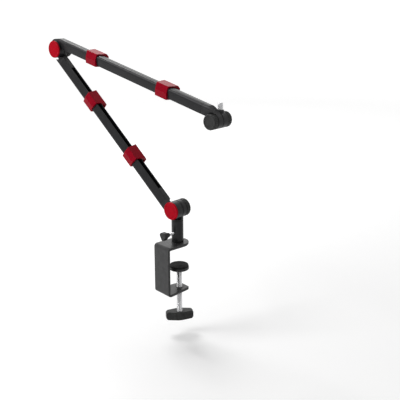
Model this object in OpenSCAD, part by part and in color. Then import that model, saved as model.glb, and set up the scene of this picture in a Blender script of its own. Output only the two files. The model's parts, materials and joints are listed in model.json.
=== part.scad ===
/* [Rest pose] */
// Angle between the arms' plane and the desk edge, seen from above, degrees
swivel_rest = 8.1; // [-15:0.1:15]
// Rise of the lower arm above the horizontal, degrees
lower_rise = 41.1; // [30:0.5:60]
// Droop of the upper arm below the horizontal, degrees
upper_droop = 13.7; // [0:0.1:15]

/* [Arm channels] */
// Pivot to pivot length of each arm
arm_l = 400; // [300:5:500]
// Width of the channel across its closed back
chan_w = 16.5; // [15:0.5:20]
// Width of the channel across its open edge
chan_open_w = 11; // [9.5:0.1:13]
// Height of the channel from its open edge to its back
chan_h = 19; // [18:0.5:22]
// Height of the upper arm's open edge above the line through its pivots
upper_lift = 3.5; // [0:0.5:5]
// Wall of the channel
chan_t = 1.6; // [1.2:0.1:2]
// Radius of the two back corners
chan_r = 5; // [3.5:0.5:6]
// Length of an end fitting from its pivot to the end of the channel
fit_l = 26; // [24:0.5:34]
// Length of the plug that holds a fitting in the channel
plug_l = 24; // [18:1:32]
// Gap between a plug and the channel all round
plug_gap = 0.15; // [0.1:0.05:0.3]

/* [Joint barrels] */
// Diameter of the joint ears, red caps and ribbed knobs
barrel_d = 32; // [28:0.5:34]
// Diameter of the tip joint
tip_d = 26.5; // [24:0.5:28]
// How far a capped ear stands out from the channel's side
boss_t = 3; // [2:0.5:4]
// Thickness of a red cap
cap_t = 2.6; // [2.4:0.1:4]
// Thickness of the ear on the turret
turret_ear_t = 9; // [7:0.5:10]
// Thickness of a friction disc
disc_t = 0.8; // [0.5:0.1:1.2]
// Thickness of a steel washer
washer_t = 1.2; // [0.8:0.1:2]
// Diameter of a joint bolt
bolt_d = 8; // [6:0.5:9]
// Width across the flats of a bolt head
head_af = 13; // [11:0.5:14]
// Height of a bolt head
head_h = 4; // [3:0.5:5]
// Thickness of a ribbed knob
knob_t = 9.5; // [8:0.5:12]
// Number of ribs round a knob
knob_ribs = 24; // [12:1:36]
// Height of a knob's ribs
rib_h = 0.7; // [0.3:0.1:1]

/* [Clamp] */
// Width of the clamp frame along the desk edge
clamp_w = 40; // [36:0.5:50]
// Distance from the swivel axis to the outside of the clamp's spine
clamp_reach = 38; // [34:0.5:42]
// Thickness of the clamp's bent plate
plate_t = 4.5; // [3.5:0.5:6]
// Outside radius of the bends
bend_r = 6; // [5:0.5:8]
// Height from the desk face down to the underside of the lower jaw
clamp_h = 88; // [75:1:110]
// Length of the lower jaw past the swivel axis
lower_jaw_l = 16; // [14:0.5:20]
// Thickness of the rubber under the upper jaw
top_pad_t = 1.2; // [0.8:0.1:2]
// Thickness of the desk top that is held
desk_t = 40; // [12:0.5:45]

/* [Clamp screw] */
// Diameter of the clamp screw
screw_d = 10; // [8:0.5:12]
// Length of the clamp screw below the pressure disc
screw_l = 94; // [90:1:110]
// How far the clamp screw stands further over the desk than the post
screw_y = 3; // [0:0.5:5]
// Diameter of the pressure disc
press_d = 36; // [30:1:40]
// Thickness of the pressure disc
press_t = 5; // [3:0.5:7]
// Thickness of its rubber face
press_pad_t = 3; // [1.5:0.5:4]
// Length of the handle
handle_l = 51; // [40:1:60]
// Width of the handle at its middle
handle_w = 22; // [17:0.5:26]
// Angle of the handle from the desk edge, degrees
handle_turn = 60; // [0:1:180]
// Height of the handle
handle_h = 16; // [14:0.5:24]

/* [Post and swivel] */
// Outside diameter of the post
post_d = 21.5; // [20:0.5:24]
// Height of the post above the clamp plate
post_h = 40.8; // [36:1:60]
// Diameter of the swivel pin
pin_d = 12; // [10:0.5:12.5]
// Wall of the bush inside the post
bush_t = 1.5; // [1:0.25:1.75]
// Thickness of the turret's collar
collar_t = 2.5; // [2:0.5:4]
// Height of the arm pivot above the collar
pivot_rise = 17.4; // [17.2:0.1:24]
// Height of the lock screw above the clamp plate
lock_z = 17.6; // [11:0.5:22]
// Angle of the lock screw from straight out, degrees
lock_turn = -4; // [-40:1:40]
// Diameter of the lock screw
lock_d = 5; // [4:0.5:6]
// Diameter of the lock screw's knob
lock_knob_d = 16.5; // [14:0.5:22]

/* [Cable clips] */
// Length of a clip along the arm
clip_l = 26; // [18:0.5:30]
// How much further the clip's far side runs past its end
hook_l = 5; // [4:0.5:12]
// How much further the clip's far side runs before its start
heel_l = 4.5; // [0:0.5:8]
// Wall of a clip
clip_t = 2.2; // [1.8:0.1:3]
// Gap between a clip and the arm
clip_gap = 0.3; // [0.2:0.05:0.5]
// Width of the cable tunnel beside the arm's far side
tunnel_w = 7.8; // [5.5:0.1:9]
// Distance from the elbow to the nearer clip's middle on the lower arm
clip_1_s = 130; // [105:1:150]
// Distance from the elbow to the farther clip's middle on the lower arm
clip_2_s = 267; // [200:1:310]
// Distance from the elbow to the nearer clip's middle on the upper arm
clip_3_s = 102; // [70:1:130]
// Distance from the elbow to the farther clip's middle on the upper arm
clip_4_s = 284; // [200:1:310]

/* [Microphone fitting] */
// Outside diameter of the microphone thread
stud_d = 9.53; // [9:0.01:12]
// Length of the microphone thread
stud_l = 12; // [10:0.5:16]
// Thickness of the barrel that carries the thread
mic_t = 12.5; // [12:0.5:16]
// Height of the thread's shoulder above the tip pivot
shoulder_z = 17; // [15:0.5:24]

/* [Hidden] */
$fn = 64;
// Running clearance of a pin or bolt in its bore, on the radius
run = 0.05;
// Gap between faces that turn on each other
face_gap = 0.15;
// Gap between a seated piece and its seat
seat = 0.1;
// Clearance round a part that swings in a notch
swing_gap = 0.7;
eps = 0.01;
// Distance from the swivel axis back to the near side of the channels
chan_near = 12;
// Far face of the lower arm's ear at the base
base_ear_y1 = -1.95;
// Radius of the upper arm's round end at the elbow
elbow_end_r = 19.5;
// Where the back of an end fitting starts to slope, measured from its pivot
slope_x = 13.3;
elbow_slope_x = 6;
// Where the upper arm's wall over the far half of the elbow ends, degrees from the arm
elbow_wall_end = 105;
// How far the tip ear stays inside the channel's far side
tip_inset = 1.1;
// Bevel of a red cap, the depth and rim of the dish in its face, its wall and the face's thickness
cap_bevel = 1.2;
cap_dish = 0.6;
cap_rim = 3;
cap_wall = 2;
cap_face_t = 1.1;
// Bevel of a ribbed knob at its root and how much it narrows at its face, and the rim of the face
knob_bevel = 1.4;
knob_taper = 2.2;
knob_rim = 3.6;
knob_face_dish = 1;
// Brass nut moulded into a knob
nut_af = 13;
nut_h = 6;
// Screws that hold an end fitting in its channel, from the far side
arm_screw_d = 4;
arm_screw_l = 6;
arm_screw_head_d = 6;
arm_screw_head_h = 0.9;
// Threaded bush in the lower jaw
jaw_bush_r = 7.5;
// Countersunk screw that holds the post on the clamp plate
post_screw_d = 8;
post_screw_head_d = 14;
post_screw_l = 5;
// Cut corners of the lower jaw
jaw_taper = 5.5;
jaw_corner = 3;
// How far the rubber of the upper jaw stays inside the plate's edge
pad_inset = 1.5;
// Floor of the post
floor_t = 6.5;
// Hub under the pressure disc, its wall, and the screw's turned end in it
disc_hub_h = 4;
disc_hub_wall = 4;
screw_end_r = 4;
screw_end_l = 5.8;
// Width of the handle's ends, its bevel and how deep the screw goes in
handle_end = 11;
handle_bevel = 3;
handle_grip = 10;
// Groove of the swivel pin, the lock screw's brass tip and its shank
groove_r = pin_d / 2 - 0.8;
groove_half = 3.2;
lock_tip_l = 3;
lock_shank = 24;
// Start of the lock knob from the swivel axis, its hub and its three lobes
lock_knob_z = 21;
lock_hub_l = 6.5;
lock_hub_r0 = 3.7;
lock_hub_r1 = 5;
lock_lobe_l = 9;
// Depth of the hollows between the lobes, as a share of the knob's radius
lock_hollow = 0.26;
// Gap under the swivel pin
pin_end_gap = 1;
// Spigot that holds the microphone thread
spigot_l = 8;
spigot_d = 6;
// Corner cuts of a clip on its near and far sides
clip_near_cut = 2.2;
clip_far_cut = 5;
// Height of the ridge along a clip's near side
clip_ridge_z = 8.9;
// Corner cut of the cable tunnel and the wall over it
tunnel_cut = 3.8;
tunnel_roof = 1.2;

barrel_r = barrel_d / 2;
tip_r = tip_d / 2;
bolt_r = bolt_d / 2;
chan_mid = -chan_near + chan_w / 2;
chan_far = -chan_near + chan_w;

// Places along a joint's axis, from the near side to the far side
boss_y = -chan_near - boss_t;
cap_y = boss_y - seat - cap_t;
turret_ear_y0 = base_ear_y1 + 2 * face_gap + disc_t;
turret_ear_y1 = turret_ear_y0 + turret_ear_t;
elbow_split = chan_mid;
upper_ear_y1 = elbow_split - disc_t / 2 - face_gap;
lower_ear_y0 = elbow_split + disc_t / 2 + face_gap;
tip_ear_y0 = cap_y + knob_t + 2 * face_gap;
tip_ear_y1 = chan_far - tip_inset;
mic_y0 = tip_ear_y1 + 2 * face_gap + disc_t;
mic_y1 = mic_y0 + mic_t;
mic_mid = (mic_y0 + mic_y1) / 2;
base_washer_y = turret_ear_y1 + face_gap;
base_knob_y = base_washer_y + washer_t + face_gap;
elbow_washer_y = chan_far + face_gap;
elbow_knob_y = elbow_washer_y + washer_t + face_gap;
tip_far_y = mic_y1 + face_gap;

// Places along an arm: the screws of its fittings, and the two sides of a clip
screw_x = fit_l + plug_l / 2;
screw_h = chan_h / 2;
clip_near = -chan_w / 2 - clip_gap - clip_t;
clip_far = chan_w / 2 + tunnel_w + clip_t;

plate_top = top_pad_t + plate_t;
post_top = plate_top + post_h;
pivot_z = post_top + face_gap + collar_t + pivot_rise;
socket_r = pin_d / 2 + run + bush_t;
spine_y = -clamp_reach;
jaw_z = -clamp_h;
press_z = -desk_t - face_gap;
screw_top = press_z - press_pad_t - press_t;
handle_z = screw_top - screw_l;
post_screw_head_h = (post_screw_head_d - post_screw_d) / 2;
lock_screw_z = groove_r + 2 * face_gap + lock_tip_l;
// What swings in the notch of the base fitting, and in the notch of the lower arm at the elbow
turret_swing_r = norm([post_d / 2, pivot_rise + collar_t]) + swing_gap;
elbow_swing_r = elbow_end_r + swing_gap;

// Frames of the moving bodies
module turret_frame() {
    rotate([0, 0, swivel_rest]) children();
}
module base_frame() {
    turret_frame() translate([0, 0, pivot_z]) children();
}
module lower_frame() {
    base_frame() rotate([0, 180 + lower_rise, 0]) children();
}
module elbow_frame() {
    lower_frame() translate([arm_l, 0, 0]) rotate([0, -180 - lower_rise, 0]) children();
}
module upper_frame() {
    elbow_frame() rotate([0, upper_droop, 0]) children();
}
module tip_frame() {
    upper_frame() translate([arm_l, 0, 0]) rotate([0, -upper_droop, 0]) children();
}

// A round bar along Y between two places
module bar_y(r, y0, y1) {
    translate([0, y0, 0]) rotate([-90, 0, 0]) cylinder(r = r, h = y1 - y0);
}

// Outline of the channel: flat open edge at zero, sides that lean out, round back corners
function arc(cx, cy, r, a0, a1, n) = [
    for (i = [0:n]) let (a = a0 + (a1 - a0) * i / n) [cx + r * cos(a), cy + r * sin(a)]];
function side_lean(inset) =
    let (px = (chan_open_w - chan_w) / 2 - inset + chan_r, pz = chan_r - chan_h)
    atan2(pz, px) + acos((chan_r - inset) / norm([px, pz]));
function channel_outline(inset, low) =
    let (r = chan_r - inset,
        half = chan_open_w / 2 - inset,
        cx = chan_w / 2 - chan_r,
        cz = chan_h - chan_r,
        a = side_lean(inset))
    concat([[half, low]], low < 0 ? [[half, 0]] : [], arc(cx, cz, r, a, 90, 6),
        arc(-cx, cz, r, 90, 180 - a, 6), low < 0 ? [[-half, 0]] : [], [[-half, low]]);
module channel_bar(x0, x1, inset, low, lift) {
    translate([x0, chan_mid, lift]) rotate([90, 0, 90])
        linear_extrude(x1 - x0) polygon(channel_outline(inset, low));
}

// The place of an arm screw on the channel's leaning far side, its axis pointing out
module arm_screw_place(x, lift) {
    a = side_lean(0);
    translate([x, chan_mid + chan_open_w / 2 - screw_h * tan(a), lift + screw_h])
        rotate([a - 90, 0, 0]) children();
}
module arm_screw_hole(x, lift) {
    arm_screw_place(x, lift) translate([0, 0, -arm_screw_l]) cylinder(d = arm_screw_d, h = 2 * arm_screw_l);
}

// The bent sheet of an arm, open along its inner edge
module channel(lift) {
    difference() {
        channel_bar(fit_l, arm_l - fit_l, 0, 0, lift);
        channel_bar(fit_l - 1, arm_l - fit_l + 1, chan_t, -1, lift);
        arm_screw_hole(screw_x, lift);
        arm_screw_hole(arm_l - screw_x, lift);
    }
}

// An end fitting in its arm's frame: a plug, a block and a round ear from y0 to y1.
// The block's back slopes down from the channel to a round end of radius end_r.
module fitting(y0, y1, ear_r, end_r, cut_r, lift, slope_x = slope_x) {
    top = lift + chan_h;
    a = atan2(top, slope_x) + acos(end_r / norm([slope_x, top]));
    difference() {
        union() {
            difference() {
                union() {
                    intersection() {
                        channel_bar(-2 * chan_h, fit_l, 0, 0, lift);
                        union() {
                            bar_y(end_r, -chan_near - 1, chan_far + 1);
                            translate([0, chan_far + 1, 0]) rotate([90, 0, 0]) linear_extrude(chan_w + 2)
                                polygon([[0, 0], [fit_l, 0], [fit_l, top], [slope_x, top],
                                    [end_r * cos(a), end_r * sin(a)]]);
                        }
                    }
                    channel_bar(fit_l - 1, fit_l + plug_l, chan_t + plug_gap, 0, lift);
                }
                bar_y(cut_r, boss_y - 1, y0);
                bar_y(cut_r, y1, chan_far + 1);
            }
            bar_y(ear_r, y0, y1);
        }
        bar_y(bolt_r + run, y0 - 1, y1 + 1);
        arm_screw_hole(screw_x, lift);
    }
}

// A six-sided bolt head's outline along Y
module hex_y(af, y0, y1) {
    translate([0, y0, 0]) rotate([-90, 0, 0]) rotate(30) cylinder(d = af / cos(30), h = y1 - y0, $fn = 6);
}

module joint_bolt(y0, y1) {
    bar_y(bolt_r, y0, y1);
    hex_y(head_af, y0, y0 + head_h);
}

// A red cap: domed face, round edge and a plug over the bolt head
module joint_cap() {
    color([0.62, 0.02, 0.08]) translate([0, cap_y, 0]) rotate([-90, 0, 0]) difference() {
        union() {
            cylinder(r1 = barrel_r - cap_bevel, r2 = barrel_r, h = cap_bevel);
            translate([0, 0, cap_bevel]) cylinder(r = barrel_r, h = cap_t - cap_bevel);
        }
        translate([0, 0, -eps]) cylinder(r1 = barrel_r - cap_rim, r2 = barrel_r - cap_rim - 1, h = cap_dish);
        translate([0, 0, cap_face_t]) cylinder(r = barrel_r - cap_wall, h = cap_t);
    }
}

// A ribbed knob between y0 and y0 + knob_t, with its nut's pocket open towards side +1 or -1
function ribbed(r, n) = [
    for (i = [0:4 * n - 1]) let (a = 90 * i / n, k = (i % 4 < 2) ? r : r - rib_h) [k * cos(a), k * sin(a)]];
module ribbed_knob(d, y0, side) {
    r = d / 2;
    translate([0, side > 0 ? y0 : y0 + knob_t, 0]) rotate([side > 0 ? -90 : 90, 0, 0]) difference() {
        union() {
            translate([0, 0, knob_bevel]) linear_extrude(knob_t - 2 * knob_bevel)
                polygon(ribbed(r, knob_ribs));
            cylinder(r1 = r - knob_bevel, r2 = r - rib_h, h = knob_bevel);
            translate([0, 0, knob_t - knob_bevel])
                cylinder(r1 = r - rib_h, r2 = r - knob_taper, h = knob_bevel);
        }
        translate([0, 0, knob_t - knob_face_dish]) cylinder(r = r - knob_rim, h = knob_t);
        translate([0, 0, -eps]) cylinder(d = (nut_af + 2 * seat) / cos(30), h = nut_h + seat, $fn = 6);
    }
}
module knob_nut(y0, side) {
    y = side > 0 ? y0 : y0 + knob_t - nut_h;
    color([0.72, 0.6, 0.3]) difference() {
        translate([0, y, 0]) rotate([-90, 0, 0]) cylinder(d = nut_af / cos(30), h = nut_h, $fn = 6);
        bar_y(bolt_r + run, y - 1, y + nut_h + 1);
    }
}

module washer_ring(r, y0, t) {
    difference() {
        bar_y(r, y0, y0 + t);
        bar_y(bolt_r + run, y0 - 1, y0 + t + 1);
    }
}

// Clamp

module bend_outline() {
    difference() {
        intersection() {
            circle(r = bend_r);
            translate([-bend_r, 0]) square(bend_r + eps);
        }
        circle(r = bend_r - plate_t);
    }
}
module clamp_frame() {
    color([0.12, 0.12, 0.13]) difference() {
        union() {
            clamp_plate(top_pad_t);
            clamp_plate(jaw_z);
            translate([-clamp_w / 2, spine_y, jaw_z + bend_r])
                cube([clamp_w, plate_t, plate_top - jaw_z - 2 * bend_r]);
            translate([-clamp_w / 2, spine_y + bend_r, plate_top - bend_r])
                rotate([90, 0, 90]) linear_extrude(clamp_w) bend_outline();
            translate([-clamp_w / 2, spine_y + bend_r, jaw_z + bend_r])
                mirror([0, 0, 1]) rotate([90, 0, 90]) linear_extrude(clamp_w) bend_outline();
        }
        translate([0, screw_y, jaw_z - 1]) cylinder(r = jaw_bush_r + seat, h = plate_t + 2);
        translate([0, 0, top_pad_t - 1]) cylinder(d = post_screw_d + 0.4, h = plate_t + 2);
        translate([0, 0, top_pad_t - eps])
            cylinder(d1 = post_screw_head_d + 0.4, d2 = post_screw_d + 0.4, h = post_screw_head_h);
    }
}

// A jaw plate whose underside is at z: the upper one ends round, the lower one with cut corners
module clamp_plate(z) {
    y0 = spine_y + bend_r;
    translate([0, 0, z]) if (z > 0) {
        intersection() {
            translate([-clamp_w / 2, y0, 0]) cube([clamp_w, clamp_w / 2 - y0, plate_t]);
            union() {
                cylinder(r = clamp_w / 2, h = plate_t, $fn = 96);
                translate([-clamp_w / 2, y0, 0]) cube([clamp_w, -y0, plate_t]);
            }
        }
    } else {
        h = clamp_w / 2;
        e = h - jaw_taper;
        linear_extrude(plate_t) polygon([[-h, y0], [h, y0], [e, lower_jaw_l - jaw_corner],
            [e - jaw_corner, lower_jaw_l], [-e + jaw_corner, lower_jaw_l], [-e, lower_jaw_l - jaw_corner]]);
    }
}

module top_pad() {
    color([0.06, 0.06, 0.06]) intersection() {
        translate([-clamp_w / 2, spine_y + bend_r, 0]) cube([clamp_w, 2 * clamp_w, top_pad_t]);
        union() {
            cylinder(r = clamp_w / 2 - pad_inset, h = top_pad_t, $fn = 96);
            translate([-clamp_w / 2 + pad_inset, spine_y, 0])
                cube([clamp_w - 2 * pad_inset, -spine_y, top_pad_t]);
        }
    }
}

// Threaded bush of the clamp screw, flush in the lower jaw
module jaw_bush() {
    color([0.15, 0.15, 0.16]) translate([0, screw_y, jaw_z]) difference() {
        cylinder(r = jaw_bush_r, h = plate_t);
        translate([0, 0, -1]) cylinder(r = screw_d / 2 + run, h = plate_t + 2);
    }
}

// Post that the arm swivels in, held from below by one countersunk screw
module post_socket() {
    color([0.08, 0.08, 0.09]) translate([0, 0, plate_top]) difference() {
        cylinder(d = post_d, h = post_h);
        translate([0, 0, floor_t]) cylinder(r = socket_r + seat, h = post_h);
        translate([0, 0, -1]) cylinder(r = post_screw_d / 2 + run, h = post_screw_l + seat + 1);
        translate([0, 0, lock_z]) lock_bore(lock_d / 2 + run, post_d);
    }
}
module lock_bore(r, l) {
    rotate([0, 0, -lock_turn]) rotate([90, 0, 0]) cylinder(r = r, h = l);
}

module post_screw() {
    color([0.5, 0.5, 0.52]) translate([0, 0, top_pad_t + seat]) {
        cylinder(d1 = post_screw_head_d - 0.2, d2 = post_screw_d, h = post_screw_head_h - seat);
        cylinder(d = post_screw_d, h = plate_t + post_screw_l - seat);
    }
}

module swivel_bush() {
    color([0.85, 0.85, 0.82]) translate([0, 0, plate_top + floor_t + seat]) difference() {
        cylinder(r = socket_r, h = post_h - floor_t - seat);
        translate([0, 0, -1]) cylinder(r = pin_d / 2 + run, h = post_h + 1);
        translate([0, 0, lock_z - floor_t - seat]) lock_bore(lock_d / 2 + 0.3, post_d);
    }
}

// Clamp screw and its pressure disc

module pressure_pad() {
    color([0.05, 0.05, 0.05]) translate([0, screw_y, press_z - press_pad_t])
        cylinder(d = press_d - 2, h = press_pad_t);
}
module pressure_disc() {
    color([0.07, 0.07, 0.08]) translate([0, screw_y, screw_top]) difference() {
        union() {
            cylinder(d = press_d, h = press_t);
            translate([0, 0, -disc_hub_h]) cylinder(r = screw_d / 2 + disc_hub_wall, h = disc_hub_h);
        }
        translate([0, 0, -disc_hub_h - 1]) cylinder(r = screw_end_r + run, h = disc_hub_h + 2);
    }
}
module clamp_screw() {
    color([0.78, 0.78, 0.8]) translate([0, screw_y, screw_top]) {
        translate([0, 0, -face_gap - screw_l]) cylinder(d = screw_d, h = screw_l - disc_hub_h);
        translate([0, 0, -disc_hub_h - 1]) cylinder(r = screw_end_r, h = screw_end_l);
    }
}
module handle_plan() {
    polygon([[-handle_l / 2, -handle_end / 2], [-handle_end / 3, -handle_w / 2],
        [handle_end / 3, -handle_w / 2], [handle_l / 2, -handle_end / 2], [handle_l / 2, handle_end / 2],
        [handle_end / 3, handle_w / 2], [-handle_end / 3, handle_w / 2], [-handle_l / 2, handle_end / 2]]);
}
module handle_front() {
    e = handle_l / 2;
    b = handle_bevel;
    polygon([[b - e, 0], [e - b, 0], [e, b], [e, handle_h - b], [e - b, handle_h],
        [b - e, handle_h], [-e, handle_h - b], [-e, b]]);
}
module screw_handle() {
    grip = handle_grip + face_gap + seat;
    color([0.06, 0.06, 0.06]) translate([0, screw_y, handle_z - handle_h + handle_grip])
        rotate(handle_turn) difference() {
            intersection() {
                linear_extrude(handle_h) handle_plan();
                rotate([90, 0, 0]) linear_extrude(2 * handle_w, center = true) handle_front();
            }
            translate([0, 0, handle_h - grip]) cylinder(r = screw_d / 2 + run, h = grip + 1);
        }
}

// Lock screw of the swivel

module lock_frame() {
    translate([0, 0, plate_top + lock_z]) rotate([0, 0, -lock_turn]) rotate([90, 0, 0]) children();
}
module lock_tip() {
    color([0.72, 0.6, 0.3]) lock_frame() translate([0, 0, groove_r + face_gap])
        cylinder(d = lock_d - 1, h = lock_tip_l);
}
module lock_screw() {
    color([0.7, 0.7, 0.72]) lock_frame() translate([0, 0, lock_screw_z])
        cylinder(d = lock_d, h = lock_shank);
}
function three_lobes(r, n) = [
    for (i = [0:n - 1]) let (a = 360 * i / n, k = r * (1 - lock_hollow / 2 * (1 - cos(3 * a - 90))))
    [k * cos(a), k * sin(a)]];
module lock_knob() {
    color([0.06, 0.06, 0.06]) lock_frame() translate([0, 0, lock_knob_z]) difference() {
        union() {
            cylinder(r1 = lock_hub_r0, r2 = lock_hub_r1, h = lock_hub_l);
            translate([0, 0, lock_hub_l]) linear_extrude(lock_lobe_l)
                polygon(three_lobes(lock_knob_d / 2, 48));
        }
        translate([0, 0, -1])
            cylinder(r = lock_d / 2 + run, h = lock_screw_z + lock_shank - lock_knob_z + 1 + seat);
    }
}

// Turret

module swivel_pin() {
    z0 = plate_top + floor_t + pin_end_gap;
    z1 = post_top + face_gap + collar_t;
    color([0.65, 0.65, 0.67]) turret_frame() difference() {
        translate([0, 0, z0]) cylinder(d = pin_d, h = z1 - z0);
        translate([0, 0, plate_top + lock_z - groove_half]) difference() {
            cylinder(d = pin_d + 2, h = 2 * groove_half);
            translate([0, 0, -1]) cylinder(r = groove_r, h = 2 * groove_half + 2);
        }
    }
}
module turret_head() {
    z0 = post_top + face_gap;
    color([0.07, 0.07, 0.08]) turret_frame() difference() {
        union() {
            translate([0, 0, z0]) cylinder(d = post_d, h = collar_t);
            intersection() {
                translate([0, 0, z0]) cylinder(d = post_d, h = pivot_z - z0);
                translate([-post_d, turret_ear_y0, z0]) cube([2 * post_d, turret_ear_t, pivot_z - z0]);
            }
            translate([0, 0, pivot_z]) bar_y(barrel_r, turret_ear_y0, turret_ear_y1);
        }
        translate([0, 0, pivot_z]) bar_y(bolt_r + run, turret_ear_y0 - 1, turret_ear_y1 + 1);
        translate([0, 0, z0 - 1]) cylinder(r = pin_d / 2 + run, h = collar_t + 1);
    }
}
module base_disc() {
    color([0.8, 0.8, 0.78]) base_frame() washer_ring(barrel_r - 3, base_ear_y1 + face_gap, disc_t);
}

// Lower arm

module lower_channel() {
    color([0.1, 0.1, 0.11]) lower_frame() channel(0);
}
module lower_base_fitting() {
    color([0.07, 0.07, 0.08]) lower_frame() difference() {
        fitting(boss_y, base_ear_y1, barrel_r, barrel_r, turret_swing_r, 0);
        hex_y(head_af + 3 * seat, boss_y - 1, boss_y + seat + head_h);
    }
}
module lower_elbow_fitting() {
    color([0.07, 0.07, 0.08]) lower_frame() translate([arm_l, 0, 0]) mirror([1, 0, 0])
        fitting(lower_ear_y0, chan_far, barrel_r, barrel_r, elbow_swing_r, 0);
}
module arm_screws(lift) {
    for (x = [screw_x, arm_l - screw_x]) arm_screw_place(x, lift) {
        translate([0, 0, seat - arm_screw_l]) cylinder(d = arm_screw_d - 0.2, h = arm_screw_l);
        translate([0, 0, seat]) cylinder(d1 = arm_screw_head_d, d2 = arm_screw_d, h = arm_screw_head_h);
    }
}
module lower_screws() {
    color([0.3, 0.3, 0.32]) lower_frame() arm_screws(0);
}
module base_bolt() {
    color([0.6, 0.6, 0.62]) lower_frame() joint_bolt(boss_y + seat, base_knob_y + nut_h);
}
module base_cap() {
    base_frame() joint_cap();
}
module base_washer() {
    color([0.8, 0.8, 0.82]) base_frame() washer_ring(barrel_r - 2, base_washer_y, washer_t);
}
module base_knob() {
    color([0.05, 0.05, 0.05]) base_frame() ribbed_knob(barrel_d, base_knob_y, 1);
}
module base_knob_nut() {
    base_frame() knob_nut(base_knob_y, 1);
}

// Cable clips: a faceted band round the arm, with a tunnel for a cable along the far side
function clip_outer() =
    let (g = clip_gap + clip_t, top = chan_h + g, n = clip_near_cut, f = clip_far_cut)
    [[clip_near + n, -g], [clip_near, clip_ridge_z], [clip_near + n, top], [clip_far - f, top],
        [clip_far, top - f], [clip_far, f - g], [clip_far - f, -g]];
function tunnel_outline() =
    let (w = clip_far - clip_t, c = tunnel_cut, z0 = clip_t, z1 = chan_h - tunnel_roof)
    [[0, z0], [w - c, z0], [w, z0 + c], [w, z1 - c], [w - c, z1], [0, z1]];
// The clip's plan: its near side is clip_l long and its far side longer at both ends
module clip_plan() {
    h = clip_l / 2;
    polygon([[-h, clip_near - 1], [h, clip_near - 1],
        [h + hook_l, clip_far + 1], [-h - heel_l, clip_far + 1]]);
}
module clip(lift) {
    l = clip_l + 2 * hook_l;
    color([0.62, 0.03, 0.08]) difference() {
        intersection() {
            translate([-l / 2, chan_mid, lift]) rotate([90, 0, 90]) linear_extrude(l) polygon(clip_outer());
            translate([0, chan_mid, -chan_h]) linear_extrude(4 * chan_h) clip_plan();
        }
        channel_bar(-l, l, -clip_gap, -clip_gap, lift);
        translate([-l, chan_mid, lift]) rotate([90, 0, 90]) linear_extrude(2 * l) polygon(tunnel_outline());
    }
}
module cable_clip_1() {
    lower_frame() translate([arm_l - clip_1_s, 0, 0]) mirror([1, 0, 0]) clip(0);
}
module cable_clip_2() {
    lower_frame() translate([arm_l - clip_2_s, 0, 0]) mirror([1, 0, 0]) clip(0);
}
module cable_clip_3() {
    upper_frame() translate([clip_3_s, 0, 0]) clip(upper_lift);
}
module cable_clip_4() {
    upper_frame() translate([clip_4_s, 0, 0]) clip(upper_lift);
}

// Upper arm

module upper_channel() {
    color([0.1, 0.1, 0.11]) upper_frame() channel(upper_lift);
}
module upper_elbow_fitting() {
    color([0.07, 0.07, 0.08]) upper_frame() difference() {
        fitting(boss_y, upper_ear_y1, barrel_r, elbow_end_r, barrel_r + swing_gap, upper_lift, elbow_slope_x);
        hex_y(head_af + 3 * seat, boss_y - 1, boss_y + seat + head_h);
        elbow_wall_cut();
    }
}
// Room behind the upper arm's elbow for the lower arm's back when the elbow opens
module elbow_wall_cut() {
    r = 2 * elbow_end_r;
    translate([0, chan_far + 1, 0]) rotate([90, 0, 0]) linear_extrude(chan_far + 1 - upper_ear_y1)
        polygon([[0, 0], [r * cos(elbow_wall_end), r * sin(elbow_wall_end)], [-r, r], [-r, 0]]);
}
module upper_tip_fitting() {
    color([0.07, 0.07, 0.08]) upper_frame() translate([arm_l, 0, 0]) mirror([1, 0, 0])
        fitting(tip_ear_y0, tip_ear_y1, tip_r, tip_r, tip_r + swing_gap, upper_lift);
}
module upper_screws() {
    color([0.3, 0.3, 0.32]) upper_frame() arm_screws(upper_lift);
}

// Elbow

module elbow_bolt() {
    color([0.6, 0.6, 0.62]) upper_frame() joint_bolt(boss_y + seat, elbow_knob_y + nut_h);
}
module elbow_cap() {
    elbow_frame() joint_cap();
}
module elbow_disc() {
    color([0.8, 0.8, 0.78]) elbow_frame() washer_ring(barrel_r - 3, elbow_split - disc_t / 2, disc_t);
}
module elbow_washer() {
    color([0.8, 0.8, 0.82]) elbow_frame() washer_ring(barrel_r - 2, elbow_washer_y, washer_t);
}
module elbow_knob() {
    color([0.05, 0.05, 0.05]) elbow_frame() ribbed_knob(barrel_d, elbow_knob_y, 1);
}
module elbow_knob_nut() {
    elbow_frame() knob_nut(elbow_knob_y, 1);
}

// Tip

module tip_bolt() {
    color([0.6, 0.6, 0.62]) tip_frame() bar_y(bolt_r, cap_y + knob_t - nut_h, tip_far_y + nut_h);
}
module tip_disc() {
    color([0.8, 0.8, 0.78]) tip_frame() washer_ring(tip_r - 2.5, tip_ear_y1 + face_gap, disc_t);
}
module mic_barrel() {
    color([0.07, 0.07, 0.08]) tip_frame() difference() {
        union() {
            bar_y(tip_r, mic_y0, mic_y1);
            translate([0, mic_mid, 0]) cylinder(d = mic_t, h = shoulder_z);
        }
        bar_y(bolt_r + run, mic_y0 - 1, mic_y1 + 1);
        translate([0, mic_mid, shoulder_z - spigot_l])
            cylinder(r = spigot_d / 2 + run, h = spigot_l + 1);
    }
}
module mic_stud() {
    color([0.75, 0.75, 0.77]) tip_frame() translate([0, mic_mid, shoulder_z]) {
        translate([0, 0, seat - spigot_l + seat]) cylinder(d = spigot_d, h = spigot_l);
        translate([0, 0, seat]) cylinder(d = stud_d, h = stud_l - 1);
        translate([0, 0, seat + stud_l - 1]) cylinder(d1 = stud_d, d2 = stud_d - 2, h = 1);
    }
}
module tip_near_knob() {
    color([0.05, 0.05, 0.05]) tip_frame() ribbed_knob(tip_d, cap_y, -1);
}
module tip_near_nut() {
    tip_frame() knob_nut(cap_y, -1);
}
module tip_far_knob() {
    color([0.05, 0.05, 0.05]) tip_frame() ribbed_knob(tip_d, tip_far_y, 1);
}
module tip_far_nut() {
    tip_frame() knob_nut(tip_far_y, 1);
}

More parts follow.
